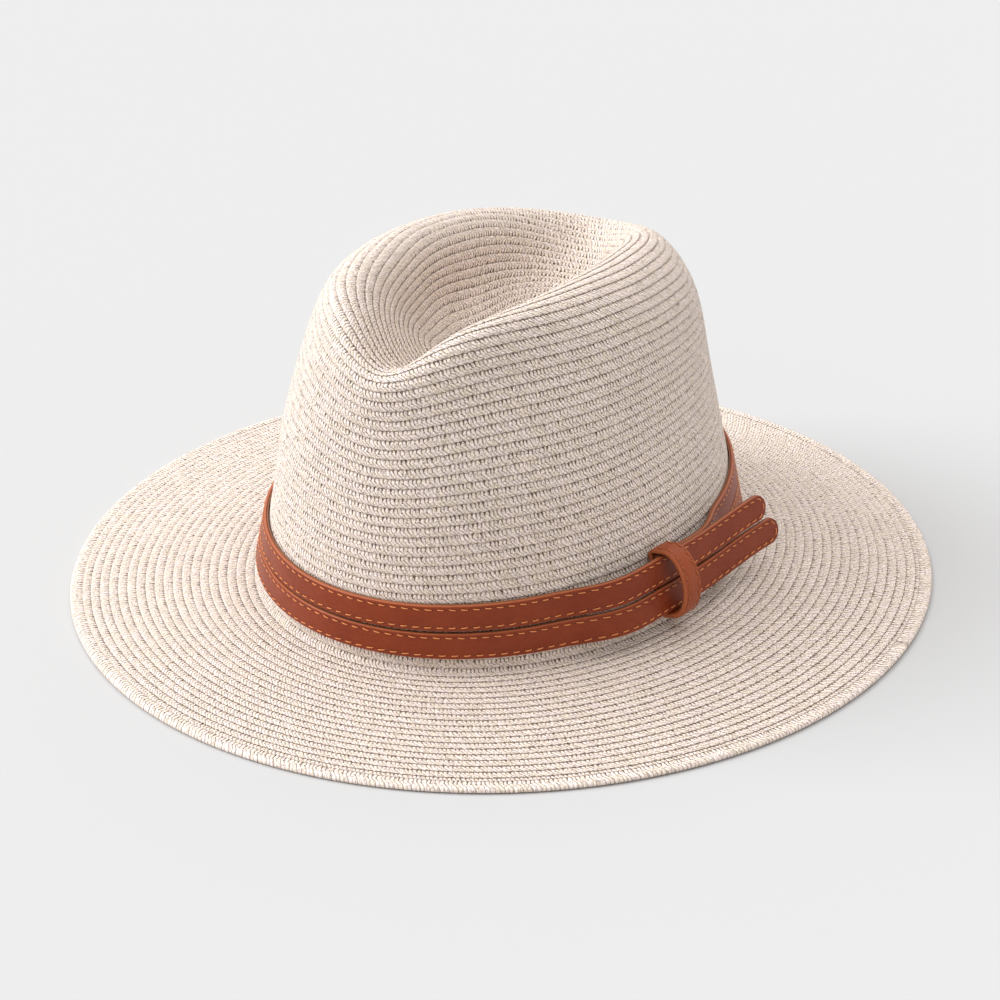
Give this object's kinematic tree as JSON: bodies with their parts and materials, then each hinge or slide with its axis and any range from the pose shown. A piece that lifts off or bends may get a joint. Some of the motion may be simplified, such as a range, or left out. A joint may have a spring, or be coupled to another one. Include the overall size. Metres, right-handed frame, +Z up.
{
  "type": "panama hat",
  "caption": "Wide-brimmed sun hat of sewn paper braid, pinched teardrop crown, inner sweatband, and a stitched double leather-look band drawn through a sliding keeper.",
  "frame": {"origin": "on the floor under the centre of the hat's bounding box", "axes": "+Z up, out through the crown; -Y towards the front of the hat, where the crown is pinched; +X towards the side with the keeper, which is the wearer's left"},
  "size_m": [0.315, 0.332, 0.1247],
  "materials": {
    "paper_braid": "matt",
    "sweatband_tape": "matt",
    "natural_thread": "matt",
    "tan_leather": "satin",
    "leather_backing": "matt",
    "orange_thread": "satin"
  },
  "bodies": {
    "hat": {"crown_top": "paper_braid", "crown_side": "paper_braid", "brim": "paper_braid", "brim_edge_braid": "paper_braid", "sweatband": "sweatband_tape", "sweatband_thread": "natural_thread", "upper_strap": "tan_leather", "upper_strap_backing": "leather_backing", "upper_strap_thread": "orange_thread", "lower_strap": "tan_leather", "lower_strap_backing": "leather_backing", "lower_strap_thread": "orange_thread"},
    "keeper": {"keeper_loop": "tan_leather", "keeper_thread_front": "orange_thread", "keeper_thread_back": "orange_thread"}
  },
  "joints": [
    {"name": "keeper_slide", "type": "slide", "parent": "hat", "child": "keeper", "axis": [0.2466, 0.9691, 0], "range_m": [-0.006, 0.006]}
  ]
}
